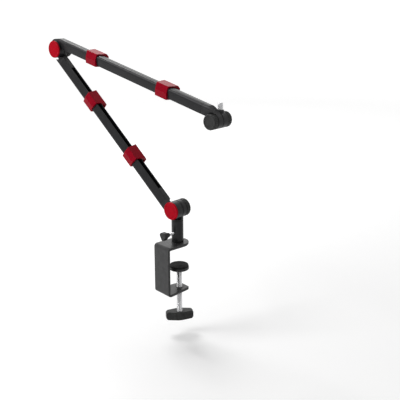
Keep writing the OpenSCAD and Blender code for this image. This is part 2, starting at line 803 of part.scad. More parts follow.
clamp_frame();
top_pad();
jaw_bush();
post_socket();
post_screw();
swivel_bush();
pressure_pad();
pressure_disc();
clamp_screw();
screw_handle();
lock_tip();
lock_screw();
lock_knob();
swivel_pin();
turret_head();
base_disc();
lower_channel();
lower_base_fitting();
lower_elbow_fitting();
lower_screws();
base_bolt();
base_cap();
base_washer();
base_knob();
base_knob_nut();
cable_clip_1();
cable_clip_2();
upper_channel();
upper_elbow_fitting();
upper_tip_fitting();
upper_screws();
elbow_bolt();
elbow_cap();
elbow_disc();
elbow_washer();
elbow_knob();
elbow_knob_nut();
cable_clip_3();
cable_clip_4();
tip_bolt();
tip_disc();
mic_barrel();
mic_stud();
tip_near_knob();
tip_near_nut();
tip_far_knob();
tip_far_nut();
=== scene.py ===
import json
import math
from typing import NamedTuple

import bmesh
import bpy
from mathutils import Matrix, Vector
from mathutils.bvhtree import BVHTree


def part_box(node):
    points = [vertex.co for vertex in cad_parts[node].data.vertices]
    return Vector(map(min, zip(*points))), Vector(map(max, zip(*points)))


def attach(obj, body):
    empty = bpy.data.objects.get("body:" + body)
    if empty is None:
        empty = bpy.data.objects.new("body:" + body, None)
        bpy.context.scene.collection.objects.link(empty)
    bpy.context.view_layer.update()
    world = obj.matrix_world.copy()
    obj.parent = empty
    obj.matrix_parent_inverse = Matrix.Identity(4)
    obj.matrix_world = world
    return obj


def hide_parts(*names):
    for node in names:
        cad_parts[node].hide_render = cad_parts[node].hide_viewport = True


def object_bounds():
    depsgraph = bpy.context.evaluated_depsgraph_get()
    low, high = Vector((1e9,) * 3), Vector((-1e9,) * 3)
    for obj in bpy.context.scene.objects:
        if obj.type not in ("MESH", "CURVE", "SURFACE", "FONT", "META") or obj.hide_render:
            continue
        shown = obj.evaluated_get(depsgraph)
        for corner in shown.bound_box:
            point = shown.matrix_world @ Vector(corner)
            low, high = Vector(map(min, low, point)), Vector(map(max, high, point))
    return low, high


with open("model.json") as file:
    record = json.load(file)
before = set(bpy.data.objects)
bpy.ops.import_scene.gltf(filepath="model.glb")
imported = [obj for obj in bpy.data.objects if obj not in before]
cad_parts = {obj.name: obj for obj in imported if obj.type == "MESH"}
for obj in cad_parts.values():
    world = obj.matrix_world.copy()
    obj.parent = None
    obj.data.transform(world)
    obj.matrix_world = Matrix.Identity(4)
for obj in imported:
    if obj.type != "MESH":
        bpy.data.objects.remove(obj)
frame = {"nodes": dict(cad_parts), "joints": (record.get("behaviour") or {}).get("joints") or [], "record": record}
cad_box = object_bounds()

bl_info = {
    "name": "Microphone Boom Arm",
    "version": (1, 0, 0),
    "blender": (4, 5, 0),
    "location": "View3D > Sidebar > Boom Arm",
    "description": "Dresses the boom arm: rounded edges, threads, ribbed knobs, red caps and clips",
    "category": "Object",
}

MM = 0.001
UP = Vector((0, 0, 1))
JOINTS = {joint["name"]: joint for joint in frame["joints"]}
BODY_OF = {
    node: body
    for body, nodes in frame["record"]["behaviour"]["bodies"].items()
    for node in nodes
}
SLOT_OF = {part["node"]: part["material_slot"] for part in frame["record"]["subparts"]}


# Sizes and colours that a user would change


def length(name, description, millimetres):
    return bpy.props.FloatProperty(
        name=name, description=description, default=millimetres * MM, min=0, unit="LENGTH", precision=5
    )


def colour(name, description, rgb):
    return bpy.props.FloatVectorProperty(
        name=name, description=description, default=rgb, size=3, min=0, max=1, subtype="COLOR"
    )


def watts(name, description, power):
    return bpy.props.FloatProperty(name=name, description=description, default=power, min=0, unit="POWER")


class BoomSizes(bpy.types.PropertyGroup):
    plate_edge: length("Plate edge", "Rounding of the clamp plate's edges", 0.6)
    cast_edge: length("Casting edge", "Rounding of the end fittings' and turret's edges", 0.5)
    sheet_edge: length("Sheet edge", "Rounding of the arm channels' cut edges", 0.25)
    clip_edge: length("Clip edge", "Rounding of the cable clips' edges", 0.45)
    handle_edge: length("Handle edge", "Rounding of the wing handle's edges", 1.0)
    lock_edge: length("Lock knob edge", "Rounding of the lock knob's edges", 0.9)
    rubber_edge: length("Rubber edge", "Rounding of the rubber's edges", 0.2)
    rib_depth: length("Rib depth", "Depth of the grooves round a knob", 0.7)
    knob_edge: length("Knob edge", "Rounding of a knob's two rims", 1.2)
    knob_dish: length("Knob dish", "Depth of the hollow in a knob's face", 0.9)
    cap_edge: length("Cap edge", "Rounding of a red cap's rim", 1.1)
    cap_dish: length("Cap dish", "Depth of the hollow inside a red cap's rim", 0.45)
    screw_pitch: length("Clamp screw pitch", "Pitch of the clamp screw's thread", 1.5)
    screw_depth: length("Clamp screw thread", "Depth of the clamp screw's thread", 0.55)
    lock_pitch: length("Lock screw pitch", "Pitch of the lock screw's thread", 0.8)
    stud_pitch: length("Microphone thread pitch", "Pitch of the microphone thread, 16 per inch", 1.5875)
    knob_ribs: bpy.props.IntProperty(name="Ribs", description="Ribs round a knob", default=24, min=8, max=48)


class BoomFinish(bpy.types.PropertyGroup):
    paint: colour("Black paint", "Powder paint of the clamp", (0.036, 0.036, 0.037))
    post: colour("Post paint", "Gloss paint of the post", (0.016, 0.016, 0.017))
    casting: colour("Black casting", "Painted castings of the joints", (0.013, 0.013, 0.014))
    anodised: colour("Black aluminium", "Satin surface of the arm channels", (0.010, 0.010, 0.011))
    rubber: colour("Rubber", "Rubber faces of the jaws", (0.012, 0.012, 0.012))
    plastic: colour("Black plastic", "Handle and knobs", (0.030, 0.030, 0.030))
    cap_red: colour("Cap red", "Gloss red of the two caps", (0.41, 0.0, 0.010))
    clip_red: colour("Clip red", "Gloss red of the cable clips", (0.29, 0.0, 0.011))
    steel: colour("Steel", "Turned steel of bolts, washers and pins", (0.56, 0.56, 0.57))
    chrome: colour("Chrome", "Plated screw and microphone thread", (0.62, 0.62, 0.63))
    brass: colour("Brass", "Nuts and the lock screw's tip", (0.60, 0.44, 0.19))
    nylon: colour("Nylon", "Natural nylon of the bush and discs", (0.72, 0.71, 0.66))


class BoomStage(bpy.types.PropertyGroup):
    floor: colour("Floor", "Plain pale floor", (0.86, 0.86, 0.86))
    lens: bpy.props.FloatProperty(name="Lens", description="Focal length in mm", default=60.57, min=10)
    camera_place: bpy.props.FloatVectorProperty(
        name="Camera place", description="Where the camera stands", default=(0.8796, -0.7217, 0.433),
        size=3, subtype="TRANSLATION", precision=4
    )
    camera_turn: bpy.props.FloatProperty(
        name="Camera turn", description="Direction of the view round the vertical",
        default=math.radians(48.6), subtype="ANGLE"
    )
    camera_dip: bpy.props.FloatProperty(
        name="Camera dip", description="How far the view looks down",
        default=math.radians(17.1), subtype="ANGLE"
    )
    sky: bpy.props.FloatProperty(name="Sky", description="Soft light from all round", default=0.22, min=0)
    roof_light: watts("Roof light", "Power of the roof panels before each one's share", 20)
    front_light: watts("Front light", "Power of the large panel on the camera's left", 6.5)


# Finishes

EVEN = (1, 1, 1)
COLOUR_DETAIL = 3
ROUGH_DETAIL = 4
RELIEF_DETAIL = 2

# The part of a noise, or of the edges' pointiness, over which a finish changes
TINT_NOISE = (0.35, 0.65)
WORN_NOISE = (0.45, 0.6)
ROUGH_NOISE = (0.3, 0.7)
WORN_POINTINESS = (0.53, 0.62)


class Recipe(NamedTuple):
    """What makes up a finish. Sizes and heights are in mm, and shades are factors of the colour."""

    material: str
    colour: str
    roughness: float
    rough_range: tuple
    rough_size: float
    shades: tuple
    shade_size: float
    relief: tuple
    specular: float = 0.5
    metallic: float = 0
    worn_shade: float = 0
    worn_amount: float = 0
    worn_size: float = 0
    grain: tuple = EVEN


RECIPES = {
    "black_metal": Recipe(
        "black_powder_paint", "paint",
        roughness=0.36, rough_range=(0.30, 0.42), rough_size=3, specular=0.24,
        shades=(0.85, 1.2), shade_size=9, worn_shade=6, worn_amount=0.35, worn_size=2.5,
        relief=((0.9, 0.03), (0.25, 0.008)),
    ),
    "post": Recipe(
        "black_gloss_paint", "post",
        roughness=0.22, rough_range=(0.19, 0.26), rough_size=3, specular=0.2,
        shades=(1, 1.3), shade_size=8, worn_shade=6, worn_amount=0.3, worn_size=1.5,
        relief=((0.9, 0.012), (0.2, 0.004)),
    ),
    "black_casting": Recipe(
        "black_painted_casting", "casting",
        roughness=0.32, rough_range=(0.28, 0.38), rough_size=2, specular=0.2,
        shades=(1, 1.7), shade_size=5, worn_shade=7, worn_amount=0.3, worn_size=1.5,
        relief=((0.6, 0.04), (0.18, 0.012)),
    ),
    "black_aluminium": Recipe(
        "black_satin_aluminium", "anodised",
        roughness=0.32, rough_range=(0.29, 0.35), rough_size=4, specular=0.17,
        shades=(1, 1.4), shade_size=14, worn_shade=6, worn_amount=0.25, worn_size=2,
        relief=((0.35, 0.010), (2.2, 0.02)),
    ),
    "rubber": Recipe(
        "black_rubber", "rubber",
        roughness=0.8, rough_range=(0.7, 0.9), rough_size=1.5, specular=0.15,
        shades=(1, 2.2), shade_size=3,
        relief=((0.4, 0.06), (0.12, 0.02)),
    ),
    "black_plastic": Recipe(
        "black_textured_plastic", "plastic",
        roughness=0.36, rough_range=(0.36, 0.5), rough_size=2, specular=0.12,
        shades=(1, 1.6), shade_size=6, worn_shade=4, worn_amount=0.25, worn_size=1.5,
        relief=((0.30, 0.02), (0.1, 0.006)),
    ),
    "red_cap": Recipe(
        "red_cap_plastic", "cap_red",
        roughness=0.30, rough_range=(0.26, 0.35), rough_size=3, specular=0.05,
        shades=(1, 1.18), shade_size=7, worn_shade=1.6, worn_amount=0.4, worn_size=1.2,
        relief=((1.4, 0.015), (0.3, 0.003)),
    ),
    "red_clip": Recipe(
        "red_clip_plastic", "clip_red",
        roughness=0.24, rough_range=(0.20, 0.29), rough_size=3, specular=0.06,
        shades=(1, 1.18), shade_size=7, worn_shade=1.6, worn_amount=0.4, worn_size=1.2,
        relief=((1.4, 0.015), (0.3, 0.003)),
    ),
    "steel": Recipe(
        "turned_steel", "steel",
        roughness=0.28, rough_range=(0.2, 0.36), rough_size=0.8, metallic=1,
        shades=(1, 0.82), shade_size=2,
        relief=((0.15, 0.006), (1, 0.01)), grain=(1, 0.2, 1),
    ),
    "chrome": Recipe(
        "chrome_plate", "chrome",
        roughness=0.16, rough_range=(0.10, 0.24), rough_size=1.2, metallic=1,
        shades=(1, 0.88), shade_size=2.5,
        relief=((0.2, 0.003), (1.2, 0.006)),
    ),
    "brass": Recipe(
        "turned_brass", "brass",
        roughness=0.3, rough_range=(0.24, 0.4), rough_size=0.8, metallic=1,
        shades=(1, 0.75), shade_size=1.5,
        relief=((0.15, 0.006), (0.8, 0.01)),
    ),
    "nylon": Recipe(
        "natural_nylon", "nylon",
        roughness=0.45, rough_range=(0.4, 0.55), rough_size=2, specular=0.4,
        shades=(1, 0.9), shade_size=4,
        relief=((0.4, 0.01), (1.5, 0.02)),
    ),
}


def shade(rgb, factor):
    return tuple(min(1.0, c * factor) for c in rgb)


class Finish:
    """A node material around one Principled shader, made from a recipe"""

    def __init__(self, recipe, rgb):
        self.material = bpy.data.materials.new(recipe.material)
        self.material.use_nodes = True
        self.nodes = self.material.node_tree.nodes
        self.links = self.material.node_tree.links
        self.place = self.nodes.new("ShaderNodeTexCoord").outputs["Object"]
        shader = self.nodes["Principled BSDF"].inputs
        shader["Base Color"].default_value = (*rgb, 1)
        shader["Roughness"].default_value = recipe.roughness
        shader["Metallic"].default_value = recipe.metallic
        shader["Specular IOR Level"].default_value = recipe.specular
        self.links.new(self.colour(recipe, rgb), shader["Base Color"])
        patches = self.noise(recipe.rough_size, ROUGH_DETAIL)
        self.links.new(self.ramp(patches, ROUGH_NOISE, recipe.rough_range), shader["Roughness"])
        self.links.new(self.relief(recipe), shader["Normal"])

    def noise(self, size, detail, stretch=EVEN):
        """Noise whose patches are about size mm across"""
        texture = self.nodes.new("ShaderNodeTexNoise")
        texture.inputs["Scale"].default_value = 1 / (size * MM)
        texture.inputs["Detail"].default_value = detail
        scale = self.nodes.new("ShaderNodeMapping")
        scale.inputs["Scale"].default_value = stretch
        self.links.new(self.place, scale.inputs["Vector"])
        self.links.new(scale.outputs["Vector"], texture.inputs["Vector"])
        return texture.outputs["Fac"]

    def ramp(self, value, source, target):
        """Maps a value from one range to another, without running over"""
        node = self.nodes.new("ShaderNodeMapRange")
        node.inputs["From Min"].default_value, node.inputs["From Max"].default_value = source
        node.inputs["To Min"].default_value, node.inputs["To Max"].default_value = target
        self.links.new(value, node.inputs["Value"])
        return node.outputs["Result"]

    def mix(self, share, first, second):
        """Blends two colours, each a colour or a node's output"""
        node = self.nodes.new("ShaderNodeMix")
        node.data_type = "RGBA"
        self.links.new(share, node.inputs["Factor"])
        for socket, value in zip(("A", "B"), (first, second)):
            target = [s for s in node.inputs if s.name == socket and s.type == "RGBA"][0]
            if isinstance(value, bpy.types.NodeSocket):
                self.links.new(value, target)
            else:
                target.default_value = (*value, 1)
        return [s for s in node.outputs if s.type == "RGBA"][0]

    def colour(self, recipe, rgb):
        """Colour that drifts between two shades, lighter at edges where it is rubbed"""
        drift = self.ramp(self.noise(recipe.shade_size, COLOUR_DETAIL), TINT_NOISE, (0, 1))
        tint = self.mix(drift, *(shade(rgb, factor) for factor in recipe.shades))
        if not recipe.worn_amount:
            return tint
        edge = self.nodes.new("ShaderNodeNewGeometry").outputs["Pointiness"]
        patches = self.noise(recipe.worn_size, COLOUR_DETAIL)
        worn = self.nodes.new("ShaderNodeMath")
        worn.operation = "MULTIPLY"
        self.links.new(self.ramp(edge, WORN_POINTINESS, (0, 1)), worn.inputs[0])
        self.links.new(self.ramp(patches, WORN_NOISE, (0, recipe.worn_amount)), worn.inputs[1])
        return self.mix(worn.outputs[0], tint, shade(rgb, recipe.worn_shade))

    def relief(self, recipe):
        """Surface relief from two layers of noise, the first one along the grain"""
        normal = None
        for (size, height), stretch in zip(recipe.relief, (recipe.grain, EVEN)):
            bump = self.nodes.new("ShaderNodeBump")
            bump.inputs["Distance"].default_value = height * MM
            self.links.new(self.noise(size, RELIEF_DETAIL, stretch), bump.inputs["Height"])
            if normal:
                self.links.new(normal, bump.inputs["Normal"])
            normal = bump.outputs["Normal"]
        return normal


made_finishes = {}


def finish_of(kind):
    """The material of a slot or of the post, made at its first use"""
    if kind not in made_finishes:
        recipe = RECIPES[kind]
        made_finishes[kind] = Finish(recipe, getattr(bpy.context.scene.boom_finish, recipe.colour)).material
    return made_finishes[kind]


def keep(*nodes):
    """CAD nodes whose shape stays get their finish"""
    for node in nodes:
        mesh = frame["nodes"][node].data
        mesh.materials.clear()
        mesh.materials.append(finish_of(SLOT_OF[node]))


def stand_for(piece, node):
    """The piece takes the node's place, body and finish"""
    piece.data.materials.clear()
    piece.data.materials.append(finish_of(SLOT_OF[node]))
    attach(piece, BODY_OF[node])
    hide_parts(node)
    return piece


# Shapes

SMOOTH_BELOW = math.radians(32)
FLAT_WITHIN = math.radians(0.5)
WELD = 0.002 * MM
TINY = 0.0002 * MM

# Edges are rounded from the first angle between their faces, and by their full width from the second
ROUND_FROM = math.radians(24)
ROUND_FULLY = math.radians(42)

# Points farther than this share of the rounding from the CAD surface are put back on it
STRAY_SHARE = 0.45


def piece_from(bm, name):
    """A scene object from a bmesh, smooth where its faces nearly line up"""
    mesh = bpy.data.meshes.new(name)
    bm.to_mesh(mesh)
    bm.free()
    mesh.shade_smooth()
    mesh.set_sharp_from_angle(angle=SMOOTH_BELOW)
    piece = bpy.data.objects.new(name, mesh)
    bpy.context.scene.collection.objects.link(piece)
    return piece


def soften(node, edge, segments=3):
    """A copy of a CAD node with its edges rounded, less where an edge fades into its surface"""
    source = frame["nodes"][node].data
    bm = bmesh.new()
    bm.from_mesh(source)
    bmesh.ops.remove_doubles(bm, verts=bm.verts, dist=WELD)
    bmesh.ops.dissolve_limit(bm, angle_limit=FLAT_WITHIN, verts=bm.verts, edges=bm.edges)
    shares = [(side.calc_face_angle(0) - ROUND_FROM) / (ROUND_FULLY - ROUND_FROM) for side in bm.edges]
    plain = piece_from(bm, node + "_plain")
    weights = plain.data.attributes.new("bevel_weight_edge", "FLOAT", "EDGE")
    weights.data.foreach_set("value", [min(max(share, 0), 1) for share in shares])
    rounding = plain.modifiers.new("Rounded edges", "BEVEL")
    rounding.width = edge
    rounding.segments = segments
    rounding.limit_method = "WEIGHT"
    rounding.use_clamp_overlap = False
    rounding.harden_normals = True
    finished = plain.evaluated_get(bpy.context.evaluated_depsgraph_get())
    mesh = bpy.data.meshes.new_from_object(finished)
    bpy.data.objects.remove(plain)
    surface = BVHTree.FromPolygons(
        [vertex.co for vertex in source.vertices], [face.vertices[:] for face in source.polygons]
    )
    low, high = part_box(node)
    for vertex in mesh.vertices:
        foot, _, _, gap = surface.find_nearest(vertex.co)
        place = foot if gap > edge * STRAY_SHARE else vertex.co
        vertex.co = [min(max(place[k], low[k]), high[k]) for k in range(3)]
    bm = bmesh.new()
    bm.from_mesh(mesh)
    bmesh.ops.dissolve_degenerate(bm, dist=TINY, edges=bm.edges)
    bm.to_mesh(mesh)
    bm.free()
    piece = bpy.data.objects.new(node + "_finished", mesh)
    bpy.context.scene.collection.objects.link(piece)
    return stand_for(piece, node)


def span(node, origin, axis, beyond=0.0):
    """Where a node starts and ends along an axis, and its largest radius, from its points beyond a radius"""
    low, high, radius = math.inf, -math.inf, 0.0
    for vertex in frame["nodes"][node].data.vertices:
        arm = vertex.co - origin
        along = arm.dot(axis)
        out = (arm - along * axis).length
        if out >= beyond:
            low, high, radius = min(low, along), max(high, along), max(radius, out)
    return low, high, radius


def axis_place(origin, axis):
    """Matrix that takes local Z to the axis"""
    turn = axis.to_track_quat("Z", "Y").to_matrix().to_4x4()
    return Matrix.Translation(origin) @ turn


def joint_line(name, outward=1):
    """A point on a hinge and its direction"""
    return Vector(JOINTS[name]["pos_m"]), outward * Vector(JOINTS[name]["axis"]).normalized()


def rounded(corners, steps=4):
    """A turned profile from corners, each a radius, a height and how far its rounding reaches"""
    profile = []
    for k, (r, z, reach) in enumerate(corners):
        here = Vector((r, z))
        if reach == 0:
            profile.append((r, z))
            continue
        before = (Vector(corners[k - 1][:2]) - here).normalized() * reach
        after = (Vector(corners[(k + 1) % len(corners)][:2]) - here).normalized() * reach
        for i in range(steps + 1):
            t = i / steps
            profile.append(tuple(here + before * (1 - t) ** 2 + after * t**2))
    return profile


def turned(name, rings, place, steps=72):
    """A solid of revolution. A ring's radius is a number or a function of angle and height."""
    bm = bmesh.new()
    loops = []
    for radius, height in rings:
        if radius == 0:
            loops.append([bm.verts.new(place @ Vector((0, 0, height)))])
            continue
        loop = []
        for k in range(steps):
            angle = math.tau * k / steps
            r = radius(angle, height) if callable(radius) else radius
            loop.append(bm.verts.new(place @ Vector((r * math.cos(angle), r * math.sin(angle), height))))
        loops.append(loop)
    for low, high in zip(loops, loops[1:]):
        for k in range(steps):
            after = k + 1
            corners = [low[k % len(low)], low[after % len(low)], high[after % len(high)], high[k % len(high)]]
            bm.faces.new(sorted(set(corners), key=corners.index))
    bmesh.ops.recalc_face_normals(bm, faces=bm.faces)
    return piece_from(bm, name)


def hexagon(across):
    """Radius of a six-sided outline at an angle"""
    return lambda angle, height: across / 2 / math.cos((angle % (math.tau / 6)) - math.tau / 12)


# Shares of the pitch that are flat at a thread's crest and root, and rings of points to a turn
CREST = 0.22
ROOT = 0.22
ROWS_PER_TURN = 10


def thread(major, depth, pitch):
    """Radius of a right-handed thread at an angle and height"""
    def radius(angle, height):
        off_crest = abs(2 * ((height / pitch - angle / math.tau) % 1) - 1)
        return major - depth * min(max((off_crest - CREST) / (1 - CREST - ROOT), 0), 1)
    return radius


def threaded_rings(major, depth, pitch, low, high, lead):
    """Rings of a thread between two heights, tapered over lead at both ends"""
    shape = thread(major, depth, pitch)

    def tapered(angle, height):
        room = min(height - low, high - height) / lead
        return min(shape(angle, height), major - depth * (1 - min(room, 1)))

    rows = round((high - low) / pitch * ROWS_PER_TURN)
    return [(tapered, low + (high - low) * k / rows) for k in range(rows + 1)]


def ribs(radius, depth, count):
    """Radius of a ribbed rim: broad ribs with round grooves between them"""
    def at(angle, height):
        wave = 0.5 + 0.5 * math.cos(count * angle)
        return radius - depth * wave**3
    return at


# Operators, one for each piece or group of like pieces


class BOOM_OT_clamp(bpy.types.Operator):
    """Bent clamp plate with the rubber of its upper jaw and the bush of its screw"""

    bl_idname = "boom.clamp"
    bl_label = "Clamp frame"

    def execute(self, context):
        sizes = context.scene.boom_sizes
        soften("clamp_frame", sizes.plate_edge)
        soften("top_pad", sizes.rubber_edge)
        soften("jaw_bush", sizes.sheet_edge)
        return {"FINISHED"}


class BOOM_OT_pressure_foot(bpy.types.Operator):
    """Pressure disc with its hub, and its grooved rubber face"""

    bl_idname = "boom.pressure_foot"
    bl_label = "Pressure foot"

    GROOVES = 4
    GROOVE_DEPTH = 0.5 * MM
    GROOVE_HALF = 0.6 * MM
    GROOVE_FLOOR = 0.5
    GROOVE_EDGE = 0.1 * MM
    RIM_EDGE = 0.5 * MM

    def execute(self, context):
        soften("pressure_disc", context.scene.boom_sizes.plate_edge)
        self.rubber_face()
        return {"FINISHED"}

    def rubber_face(self):
        low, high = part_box("pressure_pad")
        centre = (low + high) / 2
        radius = (high.x - low.x) / 2
        top = high.z - low.z
        bottom = top - self.GROOVE_DEPTH
        groove = ((1, top), (self.GROOVE_FLOOR, bottom), (-self.GROOVE_FLOOR, bottom), (-1, top))
        corners = [(0, 0, 0), (radius, 0, 0), (radius, top, self.RIM_EDGE)]
        for k in range(self.GROOVES, 0, -1):
            middle = radius * k / (self.GROOVES + 1)
            for out, height in groove:
                corners.append((middle + out * self.GROOVE_HALF, height, self.GROOVE_EDGE))
        corners.append((0, top, 0))
        place = Matrix.Translation((centre.x, centre.y, low.z))
        stand_for(turned("pressure_rubber", rounded(corners, 2), place), "pressure_pad")


class BOOM_OT_clamp_screw(bpy.types.Operator):
    """Clamp screw with its cut thread, and the wing handle"""

    bl_idname = "boom.clamp_screw"
    bl_label = "Clamp screw and handle"

    THREAD_SHARE = 0.9
    NECK_SHARE = 0.75
    NECK_BEYOND = 1 * MM
    NECK_STEP = 0.1 * MM
    NECK_EDGE = 0.4 * MM

    def execute(self, context):
        sizes = context.scene.boom_sizes
        foot = Vector((*JOINTS["screw_turn"]["pos_m"][:2], 0))
        low, high, major = span("clamp_screw", foot, UP)
        shoulder = span("clamp_screw", foot, UP, major * self.THREAD_SHARE)[1]
        neck = max(self.neck_radius(foot, shoulder), major * self.NECK_SHARE)
        rings = [(0, low)]
        rings += threaded_rings(major, sizes.screw_depth, sizes.screw_pitch, low, shoulder, sizes.screw_pitch)
        rings += rounded([(neck, shoulder + self.NECK_STEP, 0), (neck, high, self.NECK_EDGE), (0, high, 0)])
        stand_for(turned("clamp_screw_cut", rings, Matrix.Translation(foot), steps=48), "clamp_screw")
        soften("screw_handle", sizes.handle_edge, 4)
        return {"FINISHED"}

    def neck_radius(self, foot, shoulder):
        """Smallest radius above the thread"""
        return min(
            (vertex.co - foot).xy.length
            for vertex in frame["nodes"]["clamp_screw"].data.vertices
            if vertex.co.z > shoulder + self.NECK_BEYOND
        )


class BOOM_OT_post(bpy.types.Operator):
    """Post with its screw and the nylon bush inside it"""

    bl_idname = "boom.post"
    bl_label = "Post"

    def execute(self, context):
        post = soften("post_socket", context.scene.boom_sizes.cast_edge)
        post.data.materials[0] = finish_of("post")
        keep("post_screw", "swivel_bush")
        return {"FINISHED"}


class BOOM_OT_swivel_lock(bpy.types.Operator):
    """Lock screw with its brass tip and three-lobed knob"""

    bl_idname = "boom.swivel_lock"
    bl_label = "Swivel lock"

    THREAD_DEPTH = 0.4 * MM

    def execute(self, context):
        sizes = context.scene.boom_sizes
        origin, inward = joint_line("lock_turn")
        low, high, major = span("lock_screw", origin, inward)
        rings = [(0, low)]
        rings += threaded_rings(major, self.THREAD_DEPTH, sizes.lock_pitch, low, high, sizes.lock_pitch)
        rings += [(0, high)]
        stand_for(turned("lock_screw_cut", rings, axis_place(origin, inward), steps=36), "lock_screw")
        soften("lock_knob", sizes.lock_edge, 4)
        keep("lock_tip")
        return {"FINISHED"}


class BOOM_OT_turret(bpy.types.Operator):
    """Turret head with its ear, the swivel pin under it and the friction disc beside it"""

    bl_idname = "boom.turret"
    bl_label = "Turret"

    def execute(self, context):
        soften("turret_head", context.scene.boom_sizes.cast_edge)
        keep("swivel_pin", "base_disc")
        return {"FINISHED"}


class BOOM_OT_channels(bpy.types.Operator):
    """The two arm channels of bent aluminium"""

    bl_idname = "boom.channels"
    bl_label = "Arm channels"

    def execute(self, context):
        for node in ("lower_channel", "upper_channel"):
            soften(node, context.scene.boom_sizes.sheet_edge, 2)
        return {"FINISHED"}


class BOOM_OT_fittings(bpy.types.Operator):
    """Cast fittings at the ends of the arms, with the screws that hold them"""

    bl_idname = "boom.fittings"
    bl_label = "End fittings"

    def execute(self, context):
        sizes = context.scene.boom_sizes
        for node in ("lower_base_fitting", "lower_elbow_fitting", "upper_elbow_fitting", "upper_tip_fitting"):
            soften(node, sizes.cast_edge)
        for node in ("lower_screws", "upper_screws"):
            soften(node, sizes.sheet_edge / 2, 2)
        return {"FINISHED"}


class BOOM_OT_joint_hardware(bpy.types.Operator):
    """Bolts, nuts, washers and friction discs of the three joints"""

    bl_idname = "boom.joint_hardware"
    bl_label = "Joint hardware"

    def execute(self, context):
        keep("base_bolt", "elbow_bolt", "tip_bolt", "base_washer", "elbow_washer", "elbow_disc", "tip_disc")
        keep("base_knob_nut", "elbow_knob_nut", "tip_near_nut", "tip_far_nut")
        return {"FINISHED"}


class BOOM_OT_red_caps(bpy.types.Operator):
    """Round red caps over the bolt heads of the base and the elbow"""

    bl_idname = "boom.red_caps"
    bl_label = "Red caps"

    RIM = 2.6 * MM
    WALL = 2.0 * MM
    FACE = 1.1 * MM
    FINE_EDGE = 0.3 * MM
    RIM_EDGE = 0.5 * MM

    # The domed middle: where it bends, as a share of the rim's radius, and its heights, as shares of the dish
    DOME_PLACE = 0.5
    DOME_RISE = 0.35
    DOME_TOP = 0.5
    DOME_EDGE = 2 * MM

    def execute(self, context):
        for node, joint in (("base_cap", "base_tilt"), ("elbow_cap", "elbow_tilt")):
            self.cap(node, joint, context.scene.boom_sizes)
        return {"FINISHED"}

    def cap(self, node, joint, sizes):
        origin, outward = joint_line(joint, -1)
        low, high, radius = span(node, origin, outward)
        dish = sizes.cap_dish
        inner = radius - self.WALL
        rim = radius - self.RIM
        floor = high - dish
        corners = [
            (0, high - self.FACE, 0),
            (inner, high - self.FACE, self.FINE_EDGE),
            (inner, low, 0),
            (radius, low, self.FINE_EDGE),
            (radius, high, sizes.cap_edge),
            (rim, high, self.RIM_EDGE),
            (rim - dish, floor, self.FINE_EDGE),
            (rim * self.DOME_PLACE, floor + dish * self.DOME_RISE, self.DOME_EDGE),
            (0, floor + dish * self.DOME_TOP, 0),
        ]
        stand_for(turned(node + "_domed", rounded(corners, 6), axis_place(origin, outward), steps=96), node)


class BOOM_OT_knobs(bpy.types.Operator):
    """Ribbed knobs of the base, the elbow and both sides of the tip"""

    bl_idname = "boom.knobs"
    bl_label = "Ribbed knobs"

    NUT_ACROSS = 13.2 * MM
    NUT_DEPTH = 6.1 * MM
    RIM = 3.4 * MM
    STEPS_PER_RIB = 12

    # Shares of knob_edge that round the back and the front
    BACK_ROUND = 0.7
    FRONT_ROUND = 0.8

    # The dish: its edge and slope, and the low dome in its middle
    DISH_EDGE = 0.4 * MM
    DISH_SLOPE = 0.6 * MM
    DOME_PLACE = 0.4
    DOME_RISE = 0.15 * MM
    DOME_TOP = 0.2 * MM
    DOME_EDGE = 1.5 * MM

    def execute(self, context):
        sizes = context.scene.boom_sizes
        for node, joint, outward in (
            ("base_knob", "base_tilt", 1),
            ("elbow_knob", "elbow_tilt", 1),
            ("tip_far_knob", "tip_tilt", 1),
            ("tip_near_knob", "tip_tilt", -1),
        ):
            self.knob(node, joint, outward, sizes)
        return {"FINISHED"}

    def knob(self, node, joint, outward, sizes):
        origin, axis = joint_line(joint, outward)
        low, high, radius = span(node, origin, axis)
        edge = sizes.knob_edge
        pocket = hexagon(self.NUT_ACROSS)
        root = radius - sizes.rib_depth
        rim = radius - self.RIM
        face = high - sizes.knob_dish
        back = rounded([(root - edge, low, 0), (root, low, edge * self.BACK_ROUND), (root, low + edge, 0)])
        front = rounded([
            (root, high - edge, 0),
            (root, high, edge * self.FRONT_ROUND),
            (rim, high, self.DISH_EDGE),
            (rim - self.DISH_SLOPE, face, self.DISH_EDGE),
            (rim * self.DOME_PLACE, face + self.DOME_RISE, self.DOME_EDGE),
            (0, face + self.DOME_TOP, 0),
        ])
        ribbed = ribs(radius, sizes.rib_depth, sizes.knob_ribs)
        rings = [(0, low + self.NUT_DEPTH), (pocket, low + self.NUT_DEPTH), (pocket, low)]
        rings += back[:-1]
        rings += [(ribbed, height) for height in (low + edge, (low + high) / 2, high - edge)]
        rings += front[1:]
        steps = sizes.knob_ribs * self.STEPS_PER_RIB
        stand_for(turned(node + "_ribbed", rings, axis_place(origin, axis), steps=steps), node)


class BOOM_OT_cable_clips(bpy.types.Operator):
    """Red clips round the arms, with the cable tunnel on their far side"""

    bl_idname = "boom.cable_clips"
    bl_label = "Cable clips"

    def execute(self, context):
        for k in range(1, 5):
            soften(f"cable_clip_{k}", context.scene.boom_sizes.clip_edge)
        return {"FINISHED"}


